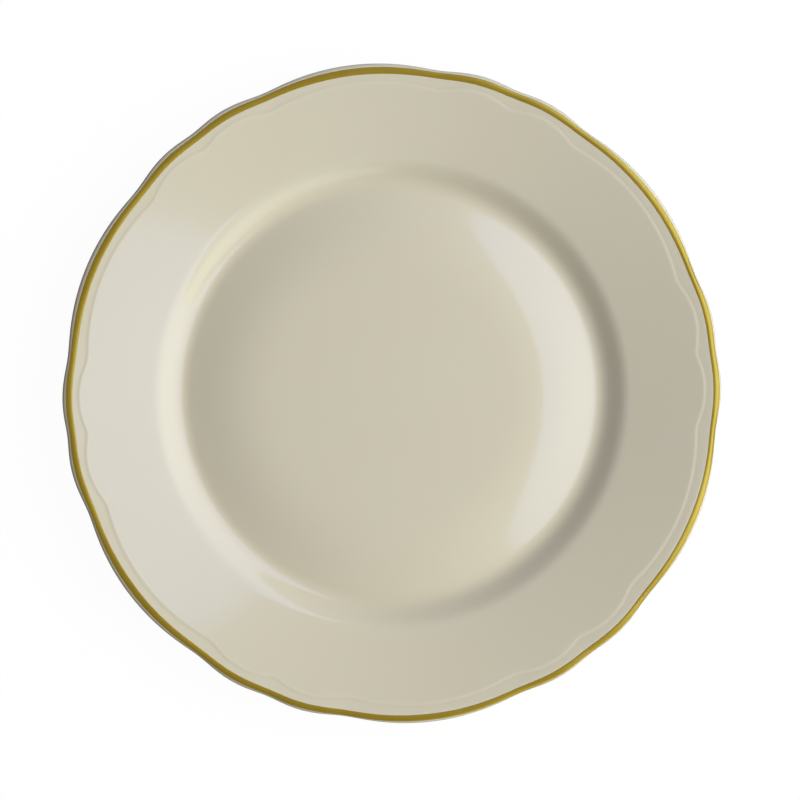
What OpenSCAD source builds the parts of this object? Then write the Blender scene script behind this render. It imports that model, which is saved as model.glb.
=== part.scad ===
// Dinner plate in glazed china with a scalloped edge and a gold line round the lip.
// The plate stands on its foot ring at z = 0, its axis is Z, and sizes are in millimetres.
// The edge repeats six times: one long arch, then two short ones. +X runs through the
// valley between two short arches, so the plate mirrors across the XZ plane.

/* [Plate] */
// Widest distance across the scalloped edge, between the tops of two long arches
plate_d = 266.7; // [255:0.1:285]
// Thickness under the well, glaze included
well_wall = 5; // [4.4:0.1:6]
// Thickness of the rim, glaze included
rim_wall = 4; // [3.6:0.1:4.4]

/* [Well] */
// Radius of the level middle of the floor
level_r = 45; // [20:1:60]
// Radius where the floor falls away fastest
fall_r = 78; // [70:0.5:79]
// How steeply the floor falls there, in degrees
fall_angle = 12; // [2:0.5:13]
// Radius of the gutter, the lowest line of the face
gutter_r = 82.5; // [80:0.5:83]
// Steepest angle of the verge, the wall of the well
verge_angle = 33; // [28:0.5:38]
// Radius where the verge has turned into the rim
rim_r = 97; // [95:0.5:100]
// Angle of the rim
rim_angle = 15; // [12:0.5:17]

/* [Moulded line] */
// Distance from the edge to the line, at the tops of the arches
line_inset = 7.2; // [6.5:0.1:8]
// Drop in the face at the line, at its innermost points
line_step = 0.2; // [0.1:0.05:0.4]
// Angle of the border between the line and the lip
border_angle = 10.5; // [9:0.5:12]

/* [Scalloped edge] */
// Curve radius of a long arch
long_arch_r = 97; // [92:0.5:104]
// Curve radius of a short arch
short_arch_r = 58; // [54:0.5:64]
// How far the short arches stay inside the long ones
short_arch_back = 0.4; // [0:0.1:0.8]
// Half the angle between two neighbouring short arches
short_arch_turn = 6.6; // [6.2:0.1:7]

/* [Lip] */
// Distance from the lip's crest to its outermost point
lip_run = 3; // [2.5:0.1:3.5]
// Half of the lip's rounded thickness
lip_half = 1.7; // [1.5:0.05:1.9]

/* [Foot ring] */
// Depth of the space inside the ring, measured under the gutter
foot_h = 3; // [2.4:0.1:3.6]
// Radius of the middle of the face that the plate stands on
foot_r = 84; // [83:0.5:84.5]
// Width of that face
foot_face = 2.4; // [2:0.1:3]

/* [Glaze and gold] */
// Thickness of the glaze
glaze_t = 0.2; // [0.15:0.05:0.3]
// Height of the bare clay at the tip of the foot
dry_h = 0.8; // [0.5:0.1:1]
// Thickness of the gold
gold_t = 0.1; // [0.08:0.01:0.15]
// Distance from the edge to the outside of the gold line
gold_outer = 1; // [0.7:0.1:1.2]
// Distance from the edge to the inside of the gold line
gold_inner = 3.6; // [2.8:0.1:3.9]

/* [Hidden] */
$fn = 180;

edge_r = plate_d / 2;
line_r = edge_r - line_inset;
// The moulded line has tighter arches than the edge.
long_line_r = 82;
short_line_r = 32;

// The foot's toe is rounded, and its flanks lean out to the wall above.
toe_r = 0.9;
flank_run = 1.3;
foot_out = foot_r + foot_face / 2 + toe_r + flank_run;
foot_in = foot_r - foot_face / 2 - toe_r - flank_run;

// Cutting shapes reach this far past the clay, sideways, upwards and downwards.
clear = 6;
above = 40;
below = -5;
last_r = edge_r + clear;

// ---------- Face and underside as heights over the radius ----------

// The fall of the floor and the climb of the verge share a narrow gutter.
gutter_half = 0.5;
verge_start = gutter_r - gutter_half;
verge_full = gutter_r + 6;
verge_end = rim_r - 6;

// The face is level at the middle and then bends at these places. Each row holds the
// radius where a bend starts, the radius where it ends, and the change of slope.
bends = [
    [level_r, fall_r, -tan(fall_angle)],
    [fall_r, gutter_r + gutter_half, tan(fall_angle)],
    [verge_start, verge_full, tan(verge_angle)],
    [verge_end, rim_r, tan(rim_angle) - tan(verge_angle)]
];

function total(list, i = 0) = i < len(list) ? list[i] + total(list, i + 1) : 0;
function reversed(list) = [for (i = [len(list) - 1 : -1 : 0]) list[i]];
function share(r, a, b) = min(max((r - a) / (b - a), 0), 1);

// A slope that grows smoothly from 0 to 1 between a and b, and the height it has gained at r
function eased(u) = u * u * (3 - 2 * u);
function gained(r, a, b) =
    let (u = share(r, a, b))
    (b - a) * (pow(u, 3) - pow(u, 4) / 2) + max(r - b, 0);

function slope(r) = total([for (b = bends) b[2] * eased(share(r, b[0], b[1]))]);
function height(r) = total([for (b = bends) b[2] * gained(r, b[0], b[1])]);

// How much longer a thickness gets when it is measured upright at a slope
function upright(r) = sqrt(1 + pow(slope(r), 2));
function wall(r) = well_wall + (rim_wall - well_wall) * share(r, gutter_r, rim_r);

face_lift = foot_h + well_wall - height(gutter_r);
function face_z(r) = face_lift + height(r);
function under_z(r) = face_z(r) - wall(r) * upright(r);

// Stretches of the profile, with the number of steps in each
stretches = [
    [0, level_r, 1],
    [level_r, fall_r, 7],
    [fall_r, gutter_r, 4],
    [gutter_r, verge_end, 7],
    [verge_end, rim_r, 5],
    [rim_r, last_r, 1]
];
stations = [
    for (s = stretches)
    for (i = [0 : s[2] - 1])
    s[0] + (s[1] - s[0]) * i / s[2]
];

function arc(x, z, r, from, to, steps) = [
    for (i = [0 : steps])
    let (a = from + (to - from) * i / steps)
    [x + r * cos(a), z + r * sin(a)]
];

// The face and the underside, set back into the clay by inset
function face_line(inset) = [
    for (r = concat(stations, [last_r]))
    [r, face_z(r) - inset * upright(r)]
];
function under_point(r, inset) = [r, under_z(r) + inset * upright(r)];

// No station lies closer to the foot's flanks than this.
flank_gap = 0.5;
function rim_underside(inset) = concat(
    [under_point(foot_out - inset, inset)],
    [for (r = concat(stations, [last_r])) if (r > foot_out + flank_gap) under_point(r, inset)]
);
function foot_outside(inset) =
    arc(foot_r + foot_face / 2, toe_r, toe_r - inset, -90, 0, 4);
function foot_inside(inset) =
    arc(foot_r - foot_face / 2, toe_r, toe_r - inset, -90, -180, 4);
function recess(inset) = concat(
    [under_point(foot_in + inset, inset)],
    [for (r = reversed(stations)) if (r < foot_in - flank_gap) under_point(r, inset)]
);

// Half the plate's cross-section, from the axis to past the edge
function section(inset) = concat(
    face_line(inset),
    reversed(rim_underside(inset)),
    reversed(foot_outside(inset)),
    foot_inside(inset),
    recess(inset)
);

// ---------- Scalloped outlines ----------

// Arches run round the plate as short, short, long. The two short ones lie on either
// side of 0 degrees, and a long one fills the rest of each repeat.
repeats = 6;
repeat_turn = 360 / repeats;
arches_each = 3;
arch_count = repeats * arches_each;
function is_long(i) = i % arches_each == arches_each - 1;
function repeat_start(i) = repeat_turn * floor(i / arches_each);
function arch_angle(i) =
    repeat_start(i) + [-short_arch_turn, short_arch_turn, repeat_turn / 2][i % arches_each];

function edge_curve(i) = is_long(i) ? long_arch_r : short_arch_r;
function edge_top(i) = is_long(i) ? edge_r : edge_r - short_arch_back;
function line_curve(i) = is_long(i) ? long_line_r : short_line_r;

// The valley of the moulded line where the circle of arch i crosses the one after it
function line_centre(i) =
    (line_r - line_curve(i)) * [cos(arch_angle(i)), sin(arch_angle(i))];
function line_valley(i) =
    let (
        a = line_centre(i),
        across = line_centre(i + 1) - a,
        gap = norm(across),
        unit = across / gap,
        along = (gap * gap + pow(line_curve(i), 2) - pow(line_curve(i + 1), 2)) / (2 * gap),
        out = sqrt(pow(line_curve(i), 2) - along * along)
    )
    a + along * unit + out * [unit[1], -unit[0]];

// Moves a shape to the middle of an arch's circle, with its +X out through the arch
module at_arch(i, top_r, curve_r) {
    rotate(arch_angle(i))
        translate([top_r - curve_r, 0])
            children();
}

module edge_outline(inset) {
    for (i = [0 : arch_count - 1])
        at_arch(i, edge_top(i), edge_curve(i))
            circle(r = edge_curve(i) - inset);
}

module line_outline(inset) {
    for (i = [0 : arch_count - 1])
        at_arch(i, line_r, line_curve(i))
            circle(r = line_curve(i) - inset);
}

// ---------- Plate form ----------

// The border starts just inside the line's innermost points, and the lip's crest is on it.
valley_room = 0.4;
border_r = min(norm(line_valley(0)), norm(line_valley(1))) - valley_room;
function border_z(r) = face_z(border_r) - line_step + (r - border_r) * tan(border_angle);
function border_point(r, inset) = [r, border_z(r) - inset / cos(border_angle)];
crest_r = edge_r - lip_run;
nose_z = border_z(crest_r) - lip_half;

// What lies outside the rounded lip in the half section
function past_lip(inset) = concat(
    [[last_r + 2, above], [crest_r, above]],
    [for (a = [90 : -18 : -54]) [
        crest_r + (lip_run - inset) * cos(a),
        nose_z + (lip_half - inset) * sin(a)
    ]],
    [[crest_r - 2, below], [last_r + 2, below]]
);

// What lies over the border, outside the moulded line
module border_cut(inset) {
    difference() {
        rotate_extrude()
            polygon([
                border_point(border_r, inset),
                border_point(last_r + 1, inset),
                [last_r + 1, above],
                [border_r, above]
            ]);
        linear_extrude(above + 1)
            line_outline(inset);
    }
}

// The tip of the foot, which the glaze doesn't cover
module foot_tip() {
    intersection() {
        polygon(section(0));
        translate([foot_r - clear, -1])
            square([2 * clear, dry_h + 1]);
    }
}

// The whole plate with every surface set back by inset, and the foot's tip bare or not.
// The lip is rounded in the revolve, and the scalloped outline then trims it.
// The revolve starts at an angle that is neither a valley nor the middle of an arch.
module plate_form(inset, bare_foot = false) {
    difference() {
        intersection() {
            rotate(repeat_turn / 3)
                rotate_extrude() {
                    difference() {
                        polygon(section(inset));
                        polygon(past_lip(inset));
                    }
                    if (bare_foot) foot_tip();
                }
            translate([0, 0, below])
                linear_extrude(above - below)
                    edge_outline(inset);
        }
        border_cut(inset);
    }
}

// Only the upper half of the lip and the border beside it, before it is trimmed
module lip_cap(inset) {
    rotate(repeat_turn / 3)
        rotate_extrude()
            difference() {
                polygon([
                    [line_r, nose_z],
                    [last_r, nose_z],
                    border_point(last_r, inset),
                    border_point(line_r, inset)
                ]);
                polygon(past_lip(inset));
            }
}

// ---------- Pieces ----------

// The fired clay: well, verge, rim, lip and foot ring in one casting
module china_body() {
    color("ivory")
        plate_form(glaze_t, bare_foot = true);
}

// The space inside the middle of the foot ring, from a floor up to the middle of the wall
function inside_foot(floor_z) = concat(
    [for (r = stations) if (r < foot_r) [r, face_z(r) - well_wall / 2]],
    [[foot_r, face_z(foot_r) - well_wall / 2], [foot_r, floor_z], [0, floor_z]]
);

// Glaze on the face, over the lip and down the back to the foot
module glaze_coat() {
    color("beige")
        difference() {
            plate_form(0);
            plate_form(glaze_t);
            rotate_extrude()
                polygon(inside_foot(below));
            translate([0, 0, below])
                cylinder(r = foot_out + 1, h = dry_h - below);
        }
}

// Glaze on the underside of the well, inside the foot ring
module foot_recess_glaze() {
    color("beige")
        rotate_extrude()
            intersection() {
                difference() {
                    polygon(section(0));
                    polygon(section(glaze_t));
                }
                polygon(inside_foot(dry_h));
            }
}

// Gold fired onto the glaze, over the crest of the lip
module gold_line() {
    color("goldenrod")
        difference() {
            intersection() {
                lip_cap(-gold_t);
                translate([0, 0, nose_z])
                    linear_extrude(above)
                        difference() {
                            edge_outline(gold_outer);
                            edge_outline(gold_inner);
                        }
            }
            lip_cap(0);
        }
}

china_body();
glaze_coat();
foot_recess_glaze();
gold_line();
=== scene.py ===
# %% [markdown]
# # A scalloped dinner plate in ivory china
#
# A rimmed plate is one casting of clay. Glaze covers it like a skin of glass, except on the
# foot that it stands on in the kiln, and a line of gold is painted on the glaze and fired.
# This lesson builds those pieces the way they lie on a real plate: clay, two skins of glaze
# and the gold, each a closed mesh that touches the piece under it.
#
# First the fixed model is loaded. It gives the sizes and the place of every piece.

import math

import bmesh
import bpy
import numpy as np
from mathutils import Matrix, Vector


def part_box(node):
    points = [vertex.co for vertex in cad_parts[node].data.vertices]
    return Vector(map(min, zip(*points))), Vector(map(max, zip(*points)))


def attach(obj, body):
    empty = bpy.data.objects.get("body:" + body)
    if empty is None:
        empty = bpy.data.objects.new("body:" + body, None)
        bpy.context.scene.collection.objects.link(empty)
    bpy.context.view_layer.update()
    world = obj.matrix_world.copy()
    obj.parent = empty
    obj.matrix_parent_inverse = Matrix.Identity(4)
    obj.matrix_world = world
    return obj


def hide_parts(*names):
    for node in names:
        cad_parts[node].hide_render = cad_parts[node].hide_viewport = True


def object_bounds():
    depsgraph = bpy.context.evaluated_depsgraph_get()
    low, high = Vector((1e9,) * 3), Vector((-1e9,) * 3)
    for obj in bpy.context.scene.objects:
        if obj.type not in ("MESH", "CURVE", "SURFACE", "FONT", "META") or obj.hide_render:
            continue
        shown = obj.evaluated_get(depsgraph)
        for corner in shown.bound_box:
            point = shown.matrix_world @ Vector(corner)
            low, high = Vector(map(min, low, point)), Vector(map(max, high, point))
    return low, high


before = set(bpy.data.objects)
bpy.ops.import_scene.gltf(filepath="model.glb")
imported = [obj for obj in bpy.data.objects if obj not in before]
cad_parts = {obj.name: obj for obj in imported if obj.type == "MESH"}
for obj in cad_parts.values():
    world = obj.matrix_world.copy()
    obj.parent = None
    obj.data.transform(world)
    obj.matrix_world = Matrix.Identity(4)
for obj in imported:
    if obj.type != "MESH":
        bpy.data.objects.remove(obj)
cad_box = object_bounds()
MM = 0.001

glaze_low, glaze_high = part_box("glaze_coat")
plate_r = (glaze_high.y - glaze_low.y) / 2 / MM
print("nodes:", sorted(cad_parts))
plate_high = (cad_box[1].z - cad_box[0].z) / MM
print(f"the plate is {2 * plate_r:.2f} mm across and {plate_high:.2f} mm high")

# %% [markdown]
# ## The face as one smooth curve
#
# A plate is pressed between a mould and a turning profile, so its face is one curve spun
# round the axis. You could draw that curve with Bezier handles and a Screw modifier. Here
# it is a formula, because then the glaze, the clay and the gold can all ask for the height
# at any radius and will always fit one another.
#
# The curve is described by how its slope changes: level in the middle, falling gently
# towards the gutter, climbing steeply up the verge, and then easing into the rim.

# %% The height of the face over the radius, in millimetres
FOOT_HIGH, WELL_THICK, RIM_THICK = 3.0, 5.0, 4.0
GUTTER_R, RIM_R = 83.9, 97.3
FALL_ANGLE, VERGE_ANGLE, RIM_ANGLE = 12, 33.5, 15.2


def tan(degrees):
    return math.tan(math.radians(degrees))


# Each bend: where it starts, where it ends, and how much the slope changes over it
FACE_BENDS = [
    (45.0, 78.0, -tan(FALL_ANGLE)),
    (80.9, 90.2, tan(FALL_ANGLE) + tan(VERGE_ANGLE)),
    (91.5, RIM_R, tan(RIM_ANGLE) - tan(VERGE_ANGLE)),
]


def share(value, start, end):
    return np.clip((value - start) / (end - start), 0.0, 1.0)


def eased(u):
    return u * u * (3 - 2 * u)


def slope_of(r):
    return sum(change * eased(share(r, start, end)) for start, end, change in FACE_BENDS)


def rise_of(r):
    """The height that all the bends have gained at radius r."""
    rise = 0.0
    for start, end, change in FACE_BENDS:
        u = share(r, start, end)
        rise = rise + change * ((end - start) * (u**3 - u**4 / 2) + np.maximum(r - end, 0))
    return rise


def face_z(r):
    return FOOT_HIGH + WELL_THICK - rise_of(GUTTER_R) + rise_of(r)


def under_z(r):
    thick = WELL_THICK + (RIM_THICK - WELL_THICK) * share(r, GUTTER_R, RIM_R)
    return face_z(r) - thick * np.sqrt(1 + slope_of(r) ** 2)


for r in (0, 82.5, 97, 123):
    above, below = face_z(np.array(float(r))), under_z(np.array(float(r)))
    print(f"radius {r:5.1f} mm: face {above:.2f}, underside {below:.2f}")

# %% [markdown]
# ## The scalloped edge and the moulded line
#
# The edge repeats six times: one long arch, then two short ones. Each arch is part of a
# circle. The corners where two circles meet are soft on real china, because the glaze
# rounds them. A smooth maximum does the same: it follows the outermost circle and fills
# the valley between two circles by a chosen amount, the softness.

# %% The scalloped outlines as a radius for every direction
TURN_STEPS = 720
REPEATS = 6
turn = np.linspace(0, 2 * math.pi, TURN_STEPS, endpoint=False)


def scallops(long_arch, short_arch, short_turn, softness):
    """The radius in every direction. An arch is its circle's distance from the axis and radius."""
    arches = (180 / REPEATS, long_arch), (-short_turn, short_arch), (short_turn, short_arch)
    reaches = []
    for repeat in range(REPEATS):
        for at, (middle, radius) in arches:
            off = turn - math.radians(360 / REPEATS * repeat + at)
            half_chord = np.sqrt(np.maximum(radius**2 - (middle * np.sin(off)) ** 2, 0))
            ahead = np.cos(off) > 0.5  # a circle counts within 60 degrees of its own direction
            reaches.append(np.where(ahead, middle * np.cos(off) + half_chord, 0))
    reaches = np.array(reaches)
    top = reaches.max(0)
    return top + softness * np.log(np.exp((reaches - top) / softness).sum(0))


edge_r = scallops(long_arch=(40.8, 92.6), short_arch=(89.3, 43.6), short_turn=6.19, softness=1.127)
edge_r *= plate_r / edge_r.max()
line_r = scallops(long_arch=(43.0, 83.0), short_arch=(96.0, 30.3), short_turn=6.67, softness=0.604)
VALLEY_R = edge_r.min()
print(f"edge from {VALLEY_R:.2f} to {edge_r.max():.2f} mm")
print(f"line from {line_r.min():.2f} to {line_r.max():.2f} mm")

# %% [markdown]
# ## The border and the lip
#
# At the moulded line the rim steps down by a sixth of a millimetre, and the border outside
# it is a little flatter than the rim. The border ends in a rounded lip. The lip's crest is
# nearly a true circle, and the scallops are trimmed into the roll outside it, so the roll is
# wide at an arch and narrow in a valley. You could sculpt such an edge, but the function
# below gives the same height to every piece that meets the upper surface.

# %% The upper surface, from the rim to the edge
LINE_STEP, LINE_WIDE = 0.17, 1.6
BORDER_SLOPE = tan(12.5)
CREST_ROUND = 1.2
LIP_HALF = 1.65
CREST_R, CREST_FOLLOWS, USUAL_EDGE_R = 130.1, 0.3, 132.6

crest_r = CREST_R + CREST_FOLLOWS * (edge_r - USUAL_EDGE_R)
roll_wide = edge_r - crest_r


def border_z(r):
    return face_z(line_r) - LINE_STEP + (r - line_r) * BORDER_SLOPE


crest_z = border_z(crest_r) - CREST_ROUND * BORDER_SLOPE / 2
nose_z = crest_z - LIP_HALF


def upper_z(r):
    """The height of the upper surface at one radius for every direction."""
    past_line = eased(share(r, line_r - LINE_WIDE / 2, line_r + LINE_WIDE / 2))
    flat = face_z(r) * (1 - past_line) + border_z(r) * past_line
    turned = np.clip(r - (crest_r - CREST_ROUND), 0, CREST_ROUND)
    crowned = flat - turned**2 * BORDER_SLOPE / (2 * CREST_ROUND)
    out = np.clip((r - crest_r) / roll_wide, 0, 1)
    rolled = nose_z + LIP_HALF * np.sqrt(1 - out**2)
    return np.where(r > crest_r, rolled, crowned)


print(f"crest {crest_z.min():.2f} to {crest_z.max():.2f} mm high")

# %% [markdown]
# ## Rings of points
#
# Every piece is a stack of rings. A ring holds one radius and one height for each
# direction. Rings lie close together where the surface bends, as at the line and the lip,
# and far apart where it is plain. That keeps the curves smooth without wasting faces.

# %% Rings over the face and round the lip
ones = np.ones(TURN_STEPS)
LINE_ZONE = 2.2


def ring(r, z):
    return np.stack([r * ones, z * ones])


def spread(start, end, count):
    """Radii between two radii, the first left out. Each may be one value or one per direction."""
    return [start + (end - start) * (i + 1) / count for i in range(count)]


face_radii = [1.5, 5, 10, 16, 23, 30, 36, 40]
face_radii += spread(40, 75, 22) + spread(75, 98, 40) + spread(98, 118, 5)
face_radii += spread(118, line_r - LINE_ZONE, 4)
face_radii += spread(line_r - LINE_ZONE, line_r + LINE_ZONE, 20)
face_radii += spread(line_r + LINE_ZONE, crest_r - CREST_ROUND, 2)
face_radii += spread(crest_r - CREST_ROUND, crest_r, 6)
face_rings = [ring(r, upper_z(r * ones)) for r in face_radii]

lip_rings = []
for a in np.radians(np.linspace(90, 0, 15))[1:]:
    lip_rings.append(ring(crest_r + roll_wide * math.cos(a), nose_z + LIP_HALF * math.sin(a)))

# The lower half of the lip turns from upright into the sloping underside of the rim.
TUCK, NOSE_DROP, TUCK_REACH, UNDER_ANGLE = 3.0, 0.95, 1.3, 15
tuck_r = edge_r - TUCK
tuck_z = under_z(tuck_r)
curve_points = [
    (edge_r, nose_z),
    (edge_r, nose_z - NOSE_DROP),
    (tuck_r + TUCK_REACH, tuck_z + TUCK_REACH * tan(UNDER_ANGLE)),
    (tuck_r, tuck_z),
]
for t in np.linspace(0, 1, 12)[1:]:
    weights = ((1 - t) ** 3, 3 * t * (1 - t) ** 2, 3 * t**2 * (1 - t), t**3)
    lip_rings.append(ring(
        sum(w * p[0] for w, p in zip(weights, curve_points)),
        sum(w * p[1] for w, p in zip(weights, curve_points)),
    ))
print(len(face_rings), "rings on the face,", len(lip_rings), "round the lip")

# %% [markdown]
# ## The back and the foot ring
#
# The back follows the face at the thickness of the wall, down to the foot ring. The corners
# where the foot meets the wall are filled by glaze, so they get a soft fillet: the corner is
# cut back along both sides and a curve is drawn between the cuts.

# %% Rings over the back, the foot and the recess
FOOT_R, FOOT_FACE, TOE_R, FLANK_RUN = 84.0, 2.4, 0.9, 1.3
toe_out, toe_in = FOOT_R + FOOT_FACE / 2, FOOT_R - FOOT_FACE / 2
flank_out, flank_in = toe_out + TOE_R + FLANK_RUN, toe_in - TOE_R - FLANK_RUN
FILLET_CUT, BESIDE_FLANK = 1.3, 1.5
BACK_RADII = (112, 106, 101, 98, 96, 94.5, 93, 91.8, 90.6, 89.7)
RECESS_RADII = (77.5, 75.5, 73, 70, 66, 62, 58, 53, 47, 40, 30, 20, 10, 4, 1.5)


def number(value):
    return float(np.asarray(value))


def fillet(before, corner, after, cut, count=9):
    """Points on a curve that rounds the corner, from cut before it to cut after it."""
    before, corner, after = (np.array(p, float) for p in (before, corner, after))
    start = corner + (before - corner) / np.linalg.norm(before - corner) * cut
    end = corner + (after - corner) / np.linalg.norm(after - corner) * cut
    return [
        (1 - t) ** 2 * start + 2 * t * (1 - t) * corner + t**2 * end
        for t in np.linspace(0, 1, count)
    ]


def under_point(r):
    return (r, number(under_z(np.array(float(r)))))


back_rings = [ring(r, under_z(r * ones)) for r in spread(tuck_r, 118 * ones, 3)]
back_rings += [ring(*under_point(r)) for r in BACK_RADII]
outer_toe = (toe_out + TOE_R, TOE_R)
outer_flank = fillet(
    under_point(flank_out + BESIDE_FLANK), under_point(flank_out), outer_toe, FILLET_CUT
)
outer_flank += spread(outer_flank[-1], np.array(outer_toe), 4)
back_rings += [ring(*p) for p in outer_flank]

tip_rings = []
for middle, start, end in ((toe_out, 0, -90), (toe_in, -90, -180)):
    for a in np.radians(np.linspace(start, end, 9)):
        tip_rings.append(ring(middle + TOE_R * math.cos(a), TOE_R + TOE_R * math.sin(a)))

inner_toe = (toe_in - TOE_R, TOE_R)
inner_flank = [np.array(inner_toe)]
corner = fillet(
    inner_toe, under_point(flank_in), under_point(flank_in - BESIDE_FLANK), FILLET_CUT
)
inner_flank += spread(inner_flank[0], corner[0], 4) + corner[1:]
recess_rings = [ring(*p) for p in inner_flank] + [ring(*under_point(r)) for r in RECESS_RADII]
print(f"the foot face runs from {toe_in:.1f} to {toe_out:.1f} mm")

# %% [markdown]
# ## Skins with a real thickness
#
# A skin of glaze needs two surfaces: the one you see, and the one that grips the clay. The
# second is the first moved inwards along the direction that is square to the curve. Glaze
# thins out where it was wiped off the foot, so the thickness may change from ring to ring.
# A Solidify modifier could do this too, but the rings also give the clay the same surface.

# %% Move rings inwards
def inset(rings, depths):
    """The rings moved into the clay, square to the surface.

    The rings run outwards over the face and back underneath.
    """
    path = np.array(rings)
    along = np.gradient(path, axis=0)
    along /= np.linalg.norm(along, axis=1, keepdims=True)
    inwards = np.stack([along[:, 1], -along[:, 0]], axis=1)
    return list(path + inwards * np.asarray(depths)[:, None, None])


# %% The points and faces of a closed surface made of rings
def closed_surface(rings, poles):
    """With poles it closes at the axis. Without them the last ring joins the first."""
    path = np.array(rings)
    points = np.stack(
        [path[:, 0] * np.cos(turn), path[:, 0] * np.sin(turn), path[:, 1]], axis=-1
    ).reshape(-1, 3)
    count = len(rings)
    here = np.arange(TURN_STEPS)
    after = (here + 1) % TURN_STEPS
    faces = []
    for k in range(count - 1 if poles else count):
        a, b = k * TURN_STEPS, (k + 1) % count * TURN_STEPS
        faces += np.stack([a + here, a + after, b + after, b + here], axis=1).tolist()
    if poles:
        first, last = np.full(TURN_STEPS, len(points)), np.full(TURN_STEPS, len(points) + 1)
        base = (count - 1) * TURN_STEPS
        faces += np.stack([after, here, first], axis=1).tolist()
        faces += np.stack([base + here, base + after, last], axis=1).tolist()
        points = np.vstack([points, [0, 0, poles[0]], [0, 0, poles[1]]])
    return points, faces


# %% Build a piece from its rings
def build(name, rings, poles=None, pools=None):
    """A closed, smooth piece. Poles are the two heights on the axis, pools a value per ring."""
    points, faces = closed_surface(rings, poles)
    mesh = bpy.data.meshes.new(name)
    mesh.from_pydata((points * MM).tolist(), [], faces)
    bm = bmesh.new()
    bm.from_mesh(mesh)
    bmesh.ops.recalc_face_normals(bm, faces=bm.faces)
    bm.to_mesh(mesh)
    volume = bm.calc_volume() / MM**3
    is_closed = all(e.is_manifold for e in bm.edges)
    bm.free()
    mesh.polygons.foreach_set("use_smooth", np.ones(len(mesh.polygons), bool))
    if pools is not None:
        values = np.repeat(np.asarray(pools, np.float32), TURN_STEPS)
        if poles:
            values = np.append(values, [pools[0], pools[-1]])
        attribute = mesh.attributes.new("pooling", "FLOAT", "POINT")
        attribute.data.foreach_set("value", values.astype(np.float32))
    piece = bpy.data.objects.new(name, mesh)
    bpy.context.scene.collection.objects.link(piece)
    print(f"{name}: {len(mesh.polygons)} faces, {volume:.0f} mm3, closed: {is_closed}")
    return piece


# %% [markdown]
# ## How deep the glaze lies
#
# Molten glaze runs off ridges and gathers in hollows. Over a ridge the coat is thin and
# pale, and in a hollow it is deeper in colour. The bend of each ring's surface says which
# it is: hollow places count as positive and ridges as negative. The value is stored on the
# mesh as an attribute called pooling, which the glaze material reads.

# %% The bend of the surface, as a value from -1 on a ridge to 1 in a hollow
SMOOTHED_OVER, BEND_GAIN = 5, 6


def pooling(rings):
    path = np.array(rings).mean(2)
    along = np.diff(path, axis=0)
    steps = np.linalg.norm(along, axis=1)
    heading = np.unwrap(np.arctan2(along[:, 1], along[:, 0]))
    bend = np.diff(heading) / np.maximum((steps[:-1] + steps[1:]) / 2, 1e-6)
    bend = np.concatenate([[0], bend, [0]])
    padded = np.pad(bend, SMOOTHED_OVER // 2, mode="edge")
    bend = np.convolve(padded, np.ones(SMOOTHED_OVER) / SMOOTHED_OVER, mode="valid")
    return np.tanh(bend * BEND_GAIN)


# %% [markdown]
# ## The glaze
#
# The first skin runs over the whole face, round the lip and down the back to the foot. The
# second lies inside the foot ring. The bare foot parts them, because a glazed foot would
# stick to the kiln shelf. Both thin out over the last stretch before the bare clay.

# %% Build the two skins of glaze
GLAZE_T, THIN_T, THIN_OUT = 0.2, 0.02, 1.2


def glaze_depths(rings, dry_at):
    """Glaze thickness for every ring: full, and thinning out next to the bare foot."""
    path = np.array(rings).mean(2)
    away = np.linalg.norm(path - np.asarray(dry_at)[None], axis=1)
    return THIN_T + (GLAZE_T - THIN_T) * eased(share(away, 0, THIN_OUT))


coat_rings = face_rings + lip_rings + back_rings
coat_depths = glaze_depths(coat_rings, outer_toe)
coat_under = inset(coat_rings, coat_depths)
recess_depths = glaze_depths(recess_rings, inner_toe)
recess_under = inset(recess_rings, recess_depths)

face_mid, under_mid = number(face_z(np.array(0.0))), number(under_z(np.array(0.0)))
coat_pool = pooling(coat_rings)
glaze_coat = build(
    "glaze_over_face_and_back", coat_rings + coat_under[::-1],
    (face_mid, face_mid - GLAZE_T), np.concatenate([coat_pool, coat_pool[::-1]]),
)
recess_pool = pooling(recess_rings)
recess_glaze = build(
    "glaze_inside_foot_ring", recess_under[::-1] + recess_rings,
    (under_mid + GLAZE_T, under_mid), np.concatenate([recess_pool[::-1], recess_pool]),
)

# %% [markdown]
# ## The clay body
#
# The clay fills what the two skins leave, plus the bare tip of the foot, so its rings are
# the undersides of the skins with the foot's tip between them.

# %% Build the clay
clay = build(
    "fired_clay_body", coat_under + tip_rings + recess_under,
    (face_mid - GLAZE_T, under_mid + GLAZE_T),
)

# %% [markdown]
# ## The gold line
#
# A gilder paints the line with a brush while the plate turns on a wheel. The brush rides
# along the lip, so it smooths out the scallops: more china shows outside the line at an
# arch than in a valley. The plate is never quite centred on the wheel, so the line also
# sits further in on one side. The gold is thickest along its middle and feathers out.

# %% Build the gold
arch_height = edge_r - VALLEY_R
# Each unsteadiness of the hand: how far it sways, how often in a turn, and where it starts
SWAYS = ((0.05, 5, 1.0), (0.04, 11, 2.6), (0.03, 23, 0.4))
wander = sum(far * np.sin(often * turn + start) for far, often, start in SWAYS)


def off_centre(amount, degrees):
    return amount * np.cos(turn - math.radians(degrees))


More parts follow.
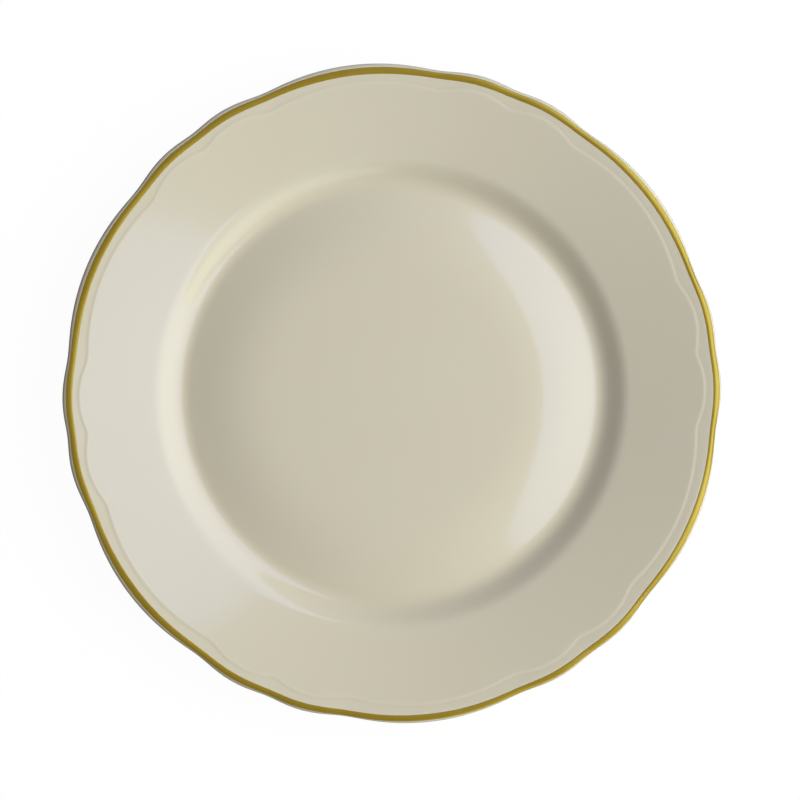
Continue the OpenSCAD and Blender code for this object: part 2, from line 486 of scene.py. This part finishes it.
# How far the line's two sides lie from the edge: in a valley, more at an arch, and more on one side
gold_out = 0.72 + 0.28 * arch_height + off_centre(0.55, 135) + 0.5 * wander
gold_in = 3.0 + 0.5 * arch_height + off_centre(0.65, 128) + wander
GOLD_STEPS = 18
FEATHER_T, CROWN_T = 0.012, 0.022
gold_base = []
for i in range(GOLD_STEPS + 1):
    r = edge_r - (gold_in + (gold_out - gold_in) * i / GOLD_STEPS)
    gold_base.append(ring(r, upper_z(r)))
across = np.linspace(0, 1, GOLD_STEPS + 1)
gold_top = inset(gold_base, -(FEATHER_T + CROWN_T * np.sin(math.pi * across)))
gold_line = build("fired_gold_line", gold_base + gold_top[::-1])
print(f"the line is {(gold_in - gold_out).min():.2f} to {(gold_in - gold_out).max():.2f} mm wide")

# %% [markdown]
# ## Effects that more than one finish uses
#
# A node group is built once and placed in each material with its own values. Two effects
# are shared here. The first is unevenness, a soft cloudy value used for tone and gloss. The
# second is turning marks, the faint rings that the profile leaves in clay and that still
# show through glaze. Both read the place on the plate, never the place of the camera.

# %% Node helpers
def add(tree, kind, **values):
    """A new node. A value named after an input sets the input, and any other sets a property."""
    node = tree.nodes.new(kind)
    for name, value in values.items():
        socket = node.inputs.get(name.replace("_", " ").title())
        if socket is not None:
            socket.default_value = value
        else:
            setattr(node, name, value)
    return node


def link(tree, source, target):
    tree.links.new(source, target)


def new_group(name, inputs, outputs):
    """A node group with named inputs, each a name, a kind and a value, and named float outputs."""
    tree = bpy.data.node_groups.new(name, "ShaderNodeTree")
    for label, kind, value in inputs:
        socket = tree.interface.new_socket(name=label, in_out="INPUT", socket_type=kind)
        if value is not None:
            socket.default_value = value
    for label in outputs:
        tree.interface.new_socket(name=label, in_out="OUTPUT", socket_type="NodeSocketFloat")
    return tree, tree.nodes.new("NodeGroupInput"), tree.nodes.new("NodeGroupOutput")


# %% Unevenness: a cloudy value from 0 to 1
unevenness, given, made = new_group(
    "unevenness",
    [("Place", "NodeSocketVector", None), ("Patch Size mm", "NodeSocketFloat", 20.0),
     ("Contrast", "NodeSocketFloat", 1.0)],
    ["Value"],
)
per_metre = add(unevenness, "ShaderNodeMath", operation="DIVIDE")
per_metre.inputs[0].default_value = 1 / MM
link(unevenness, given.outputs["Patch Size mm"], per_metre.inputs[1])
clouds = add(unevenness, "ShaderNodeTexNoise", detail=3.0, roughness=0.55)
link(unevenness, given.outputs["Place"], clouds.inputs["Vector"])
link(unevenness, per_metre.outputs[0], clouds.inputs["Scale"])
centred = add(unevenness, "ShaderNodeMath", operation="SUBTRACT")
link(unevenness, clouds.outputs["Fac"], centred.inputs[0])
centred.inputs[1].default_value = 0.5
stretched = add(unevenness, "ShaderNodeMath", operation="MULTIPLY_ADD", use_clamp=True)
link(unevenness, centred.outputs[0], stretched.inputs[0])
link(unevenness, given.outputs["Contrast"], stretched.inputs[1])
stretched.inputs[2].default_value = 0.5
link(unevenness, stretched.outputs[0], made.inputs["Value"])
print("group:", unevenness.name)

# %% Turning marks: faint rings round the axis, as a height from 0 to 1
turning_marks, given, made = new_group(
    "turning_marks",
    [("Place", "NodeSocketVector", None), ("Spacing mm", "NodeSocketFloat", 1.5)],
    ["Height"],
)
flat_place = add(turning_marks, "ShaderNodeVectorMath", operation="MULTIPLY")
flat_place.inputs[1].default_value = (1, 1, 0)
link(turning_marks, given.outputs["Place"], flat_place.inputs[0])
from_axis = add(turning_marks, "ShaderNodeVectorMath", operation="LENGTH")
link(turning_marks, flat_place.outputs[0], from_axis.inputs[0])
in_mm = add(turning_marks, "ShaderNodeMath", operation="MULTIPLY")
in_mm.inputs[1].default_value = 1 / MM
link(turning_marks, from_axis.outputs["Value"], in_mm.inputs[0])
in_rings = add(turning_marks, "ShaderNodeMath", operation="DIVIDE")
link(turning_marks, in_mm.outputs[0], in_rings.inputs[0])
link(turning_marks, given.outputs["Spacing mm"], in_rings.inputs[1])
ring_noise = add(turning_marks, "ShaderNodeTexNoise", noise_dimensions="1D", detail=2.0, scale=1.0)
link(turning_marks, in_rings.outputs[0], ring_noise.inputs["W"])
link(turning_marks, ring_noise.outputs["Fac"], made.inputs["Height"])
print("group:", turning_marks.name)

# %% A material to start from, and ways to place a group in it
def new_material(name):
    """A material with its shader node, its tree and the place on the piece."""
    material = bpy.data.materials.new(name)
    material.use_nodes = True
    tree = material.node_tree
    shader = tree.nodes["Principled BSDF"]
    place = tree.nodes.new("ShaderNodeTexCoord").outputs["Object"]
    return material, tree, shader, place


def use_group(tree, group, place, **values):
    """Places a shared effect in a material, with its own values."""
    node = tree.nodes.new("ShaderNodeGroup")
    node.node_tree = group
    link(tree, place, node.inputs["Place"])
    for name, value in values.items():
        node.inputs[name.replace("_", " ").title().replace("Mm", "mm")].default_value = value
    return node.outputs[0]


def ranged(tree, value, low, high):
    """Maps a value from 0 to 1 onto low to high."""
    node = add(tree, "ShaderNodeMapRange")
    link(tree, value, node.inputs["Value"])
    node.inputs["To Min"].default_value = low
    node.inputs["To Max"].default_value = high
    return node.outputs["Result"]


def mixed(tree, factor, a, b):
    """Mixes two colours, each given as a colour or as a socket."""
    node = tree.nodes.new("ShaderNodeMix")
    node.data_type = "RGBA"
    for value, socket in ((factor, node.inputs[0]), (a, node.inputs[6]), (b, node.inputs[7])):
        if isinstance(value, bpy.types.NodeSocket):
            link(tree, value, socket)
        else:
            socket.default_value = value if isinstance(value, float) else (*value, 1)
    return node.outputs[2]


def times(tree, value, gain):
    """A value times a gain, kept between 0 and 1."""
    node = add(tree, "ShaderNodeMath", operation="MULTIPLY", use_clamp=True)
    link(tree, value, node.inputs[0])
    node.inputs[1].default_value = gain
    return node.outputs[0]


def bumped(tree, shader, heights):
    """Chains bumps into the shader's normal. Each height comes with its relief's depth in mm."""
    normal = None
    for height, depth in heights:
        bump = add(tree, "ShaderNodeBump", strength=1.0, distance=depth * MM)
        link(tree, height, bump.inputs["Height"])
        if normal is not None:
            link(tree, normal, bump.inputs["Normal"])
        normal = bump.outputs["Normal"]
    link(tree, normal, shader.inputs["Normal"])


# %% [markdown]
# ## Ivory glaze
#
# Ivory china has a warm body under a clear, glossy glaze. The colour deepens a little where
# the glaze pools, pales on ridges, and drifts slightly over broad patches. The surface isn't
# quite flat: it has the slow waviness of something that was once liquid, about a hundredth
# of a millimetre deep over a centimetre. Gloss varies very little, and a few tiny iron
# specks show from the clay. One colour for the whole glaze would look like plastic.

# %% The glaze material
IVORY = (0.740, 0.688, 0.578)
IVORY_DEEP = (0.710, 0.648, 0.527)
IVORY_PALE = (0.770, 0.726, 0.632)

ivory_glaze, tree, shader, place = new_material("ivory_glaze")
pool = add(tree, "ShaderNodeAttribute", attribute_name="pooling").outputs["Fac"]
hollow, ridge = times(tree, pool, 0.8), times(tree, pool, -0.7)
broad = use_group(tree, unevenness, place, patch_size_mm=38.0, contrast=1.6)
colour = mixed(tree, ranged(tree, broad, 0.0, 0.35), IVORY, IVORY_DEEP)
colour = mixed(tree, hollow, colour, IVORY_DEEP)
colour = mixed(tree, ridge, colour, IVORY_PALE)

# Iron specks: one spot in each cell of a Voronoi pattern, sized as a share of the cell
SPECKS_PER_METRE, SPECK_COLOUR = 55.0, (0.34, 0.27, 0.17)
speck_spots = add(tree, "ShaderNodeTexVoronoi", scale=SPECKS_PER_METRE, randomness=1.0)
link(tree, place, speck_spots.inputs["Vector"])
speck = add(tree, "ShaderNodeMapRange", interpolation_type="SMOOTHSTEP")
link(tree, speck_spots.outputs["Distance"], speck.inputs["Value"])
for label, value in (("From Min", 0.012), ("From Max", 0.022), ("To Min", 0.30), ("To Max", 0.0)):
    speck.inputs[label].default_value = value
colour = mixed(tree, speck.outputs["Result"], colour, SPECK_COLOUR)
link(tree, colour, shader.inputs["Base Color"])

gloss = use_group(tree, unevenness, place, patch_size_mm=9.0, contrast=1.4)
link(tree, ranged(tree, gloss, 0.07, 0.11), shader.inputs["Roughness"])
shader.inputs["IOR"].default_value = 1.6
slow_waves = use_group(tree, unevenness, place, patch_size_mm=11.0, contrast=1.0)
fine_waves = use_group(tree, unevenness, place, patch_size_mm=2.2, contrast=1.0)
rings_under = use_group(tree, turning_marks, place, spacing_mm=2.6)
bumped(tree, shader, [(slow_waves, 0.012), (fine_waves, 0.0015), (rings_under, 0.002)])
print("material:", ivory_glaze.name)

# %% [markdown]
# ## Bare clay
#
# The foot's tip is fired clay, ground smooth so that it won't scratch the plate under it.
# It is matt and a little chalky, with a fine grain and the marks of grinding, and rubbed
# places are greyed by tables and by other plates. Patches of noise give all of that, and
# the turning marks group serves for the grinding.

# %% The clay material
CLAY, CLAY_DARK, CLAY_RUBBED = (0.70, 0.645, 0.52), (0.62, 0.56, 0.44), (0.40, 0.37, 0.32)

bare_clay, tree, shader, place = new_material("bare_clay")
patches = use_group(tree, unevenness, place, patch_size_mm=6.0, contrast=1.8)
colour = mixed(tree, patches, CLAY, CLAY_DARK)
rub = use_group(tree, unevenness, place, patch_size_mm=3.2, contrast=4.5)
colour = mixed(tree, ranged(tree, rub, 0.0, 0.45), colour, CLAY_RUBBED)
link(tree, colour, shader.inputs["Base Color"])
link(tree, ranged(tree, patches, 0.62, 0.85), shader.inputs["Roughness"])
grain = use_group(tree, unevenness, place, patch_size_mm=0.35, contrast=2.0)
grinding = use_group(tree, turning_marks, place, spacing_mm=0.25)
bumped(tree, shader, [(grain, 0.02), (grinding, 0.01)])
print("material:", bare_clay.name)

# %% [markdown]
# ## Fired gold
#
# Bright gold is a metal film, so most of its colour is the colour of its reflection. It is
# made part metal and part plain colour, because then it stays gold where it has nothing
# bright to reflect. It is browner in patches, where the brush left it thin, and its gloss
# varies. The brush also leaves fine, darker streaks along the line, and the turning marks
# group runs the same way, round the rim.

# %% The gold material
GOLD_BROWN, GOLD_BRIGHT, GOLD_STREAK = (0.70, 0.49, 0.045), (0.77, 0.555, 0.075), (0.50, 0.33, 0.03)

fired_gold, tree, shader, place = new_material("fired_gold")
film = use_group(tree, unevenness, place, patch_size_mm=14.0, contrast=1.6)
colour = mixed(tree, film, GOLD_BROWN, GOLD_BRIGHT)
streaks = use_group(tree, turning_marks, place, spacing_mm=0.7)
colour = mixed(tree, ranged(tree, streaks, 0.0, 0.22), colour, GOLD_STREAK)
link(tree, colour, shader.inputs["Base Color"])
shader.inputs["Metallic"].default_value = 0.7
dull = use_group(tree, unevenness, place, patch_size_mm=9.0, contrast=1.4)
link(tree, ranged(tree, dull, 0.27, 0.36), shader.inputs["Roughness"])
bumped(tree, shader, [(film, 0.003)])
print("material:", fired_gold.name)

# %% [markdown]
# ## Dress the pieces and fix them to the model
#
# Each piece rides on the plate's only body and takes the place of one node of the fixed model,
# which is hidden. The slot that its finish belongs to is only printed.

# %% Materials, bodies, nodes and slots
for piece, material, node, slot in (
    (clay, bare_clay, "china_body", "bare_china"),
    (glaze_coat, ivory_glaze, "glaze_coat", "ivory_glaze"),
    (recess_glaze, ivory_glaze, "foot_recess_glaze", "ivory_glaze"),
    (gold_line, fired_gold, "gold_line", "fired_gold"),
):
    piece.data.materials.append(material)
    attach(piece, "root")
    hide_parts(node)
    print(f"{piece.name} stands for {node}, in {slot}")

# %% [markdown]
# ## The floor
#
# The floor is plain and nearly white. Light that the camera sees from it is mostly its own
# glow, so it stays even. Light that bounces from it onto the plate is much weaker, as it
# would be from a table in shade, so the underside of the lip keeps its form.

# %% A plain pale floor
FLOOR_HALF, FLOOR_BOUNCE, FLOOR_SEEN, FLOOR_GLOW = 3.0, (0.30,) * 3, (0.04,) * 3, 0.97
floor_mesh = bpy.data.meshes.new("floor")
bm = bmesh.new()
bmesh.ops.create_grid(bm, x_segments=8, y_segments=8, size=FLOOR_HALF)
bm.to_mesh(floor_mesh)
bm.free()
floor = bpy.data.objects.new("floor", floor_mesh)
bpy.context.scene.collection.objects.link(floor)
floor_paint, tree, shader, _ = new_material("floor_paint")
shader.inputs["Roughness"].default_value = 0.9
shader.inputs["Specular IOR Level"].default_value = 0.0
seen = tree.nodes.new("ShaderNodeLightPath").outputs["Is Camera Ray"]
link(tree, mixed(tree, seen, FLOOR_BOUNCE, FLOOR_SEEN), shader.inputs["Base Color"])
glow = tree.nodes.new("ShaderNodeEmission")
glow.inputs["Color"].default_value = (1, 1, 1, 1)
link(tree, ranged(tree, seen, 0.0, FLOOR_GLOW), glow.inputs["Strength"])
both = tree.nodes.new("ShaderNodeAddShader")
link(tree, shader.outputs[0], both.inputs[0])
link(tree, glow.outputs[0], both.inputs[1])
link(tree, both.outputs[0], tree.nodes["Material Output"].inputs["Surface"])
floor_mesh.materials.append(floor_paint)
print("floor:", floor.name)

# %% [markdown]
# ## The camera
#
# The camera looks straight down. It is rolled so that the valley on +X points a little
# above the right-hand side of the frame, and it stands slightly off the plate's centre,
# which leaves a wider margin on two sides. A long lens keeps the circle a circle.

# %% Camera straight above the plate
ROLL = math.radians(-7.5)
right_way = Vector((math.cos(ROLL), math.sin(ROLL), 0))
up_way = Vector((-math.sin(ROLL), math.cos(ROLL), 0))
FRAME_WIDE, ASIDE, DOWN = 0.3226, 0.0033, 0.0027
edge_height = float(nose_z.mean()) * MM
camera_data = bpy.data.cameras.new("overhead_camera")
camera_data.lens = 180
camera_data.sensor_width = 36
distance = FRAME_WIDE * camera_data.lens / camera_data.sensor_width
camera = bpy.data.objects.new("overhead_camera", camera_data)
camera.location = right_way * ASIDE - up_way * DOWN + Vector((0, 0, edge_height + distance))
camera.rotation_euler = (0, 0, ROLL)
bpy.context.scene.collection.objects.link(camera)
bpy.context.scene.camera = camera
print(f"camera {distance:.3f} m above the lip")

# %% [markdown]
# ## The light
#
# Three soft panels and a dim room light the plate. A panel is an area light that faces the
# middle of the plate. It is placed by the way to it as seen from the plate, like a window in
# the sky, and it may be shifted in its own plane. One helper hangs all three. Point lamps
# would be simpler, but glossy china shows what lights it, and a panel gives a soft sheen.

# %% Hang a panel of light
def hang(name, toward, sideways, far, wide, high, shift=(0.0, 0.0)):
    """A panel that faces the plate. It may be shifted by shares of how far away it is."""
    upwards = toward.cross(sideways)
    data = bpy.data.lights.new(name, "AREA")
    data.shape = "RECTANGLE"
    data.size, data.size_y = wide, high
    panel = bpy.data.objects.new(name, data)
    middle = (toward + sideways * shift[0] + upwards * shift[1]) * far
    facing = Matrix((sideways, upwards, toward)).transposed().to_4x4()
    panel.matrix_world = Matrix.Translation(middle) @ facing
    bpy.context.scene.collection.objects.link(panel)
    return panel


# %% [markdown]
# ## The softbox
#
# One very large softbox hangs to the right and leans over the plate. Its middle is 40
# degrees from overhead and its near edge about 16. Its reflection lies on the rim opposite
# as a pale sheen with one soft, straight border, and on the floor of the well near the
# verge. It is bluish, like the light of a window, and so is the sheen.

# %% Softbox
LEAN, TWIST, BOX_FAR = math.radians(40), math.radians(7.3), 1.4
toward = right_way * math.sin(LEAN) + Vector((0, 0, math.cos(LEAN)))
outward = right_way * math.cos(LEAN) - Vector((0, 0, math.sin(LEAN)))
box_x = up_way * math.cos(TWIST) - outward * math.sin(TWIST)
sides_x, sides_y = (-0.415, 1.0), (-0.45, 0.44)
box_wide, box_high = (BOX_FAR * (high - low) for low, high in (sides_x, sides_y))
box_shift = (sum(sides_x) / 2, sum(sides_y) / 2)
softbox = hang("softbox", toward, box_x, BOX_FAR, box_wide, box_high, box_shift)
softbox.data.energy = 7.6
softbox.data.color = (0.80, 1.0, 2.0)
print(f"softbox {box_wide:.2f} by {box_high:.2f} m")

# %% [markdown]
# ## The warm fill
#
# The form is shaded by warmer light than the sheen shows, as in a room where lamps and pale
# walls help the window. The fill comes from nearly the same side. It is hidden from
# reflections, so it shades the china without a second sheen. It stands apart from the
# softbox, because where two panels lie in one plane the renderer counts only one of them.

# %% Warm fill
FILL_LEAN, FILL_FAR, FILL_SIZE = math.radians(50), 1.8, 1.5
fill_toward = right_way * math.sin(FILL_LEAN) + Vector((0, 0, math.cos(FILL_LEAN)))
warm_fill = hang("warm_fill", fill_toward, up_way, FILL_FAR, FILL_SIZE, FILL_SIZE)
warm_fill.data.energy = 30
warm_fill.data.color = (1.0, 0.98, 0.57)
warm_fill.visible_glossy = False
print(f"warm fill {FILL_SIZE:.2f} m square, {FILL_FAR:.1f} m away")

# %% [markdown]
# ## The low side glow
#
# A long, low panel stands in front, to the right. It brightens the slopes that face it and
# the outside of the lip, as a pale wall near the table would. It is too low for its
# reflection to show in the level parts of the face from above.

# %% Side glow
SIDE_TURN, SIDE_RISE, SIDE_FAR = math.radians(-55), math.radians(20), 2.0
SIDE_WIDE, SIDE_HIGH = 2.4, 0.9
side_way = right_way * math.cos(SIDE_TURN) + up_way * math.sin(SIDE_TURN)
side_across = up_way * math.cos(SIDE_TURN) - right_way * math.sin(SIDE_TURN)
side_toward = side_way * math.cos(SIDE_RISE) + Vector((0, 0, math.sin(SIDE_RISE)))
side_glow = hang("side_glow", side_toward, side_across, SIDE_FAR, SIDE_WIDE, SIDE_HIGH)
side_glow.data.energy = 5.2
side_glow.data.color = (0.90, 1.0, 0.99)
print(f"side glow {SIDE_WIDE:.1f} by {SIDE_HIGH:.1f} m")

# %% [markdown]
# ## The room
#
# A dim, warm background stands for everything else that sends light to the plate. The plain
# Standard view keeps the colours as they are set.

# %% Room and view
room = bpy.data.worlds.new("room")
room.use_nodes = True
room.node_tree.nodes["Background"].inputs["Color"].default_value = (1.0, 0.85, 0.56, 1)
room.node_tree.nodes["Background"].inputs["Strength"].default_value = 0.15
bpy.context.scene.world = room
bpy.context.scene.view_settings.view_transform = "Standard"
print("lights:", sorted(light.name for light in (softbox, warm_fill, side_glow)))
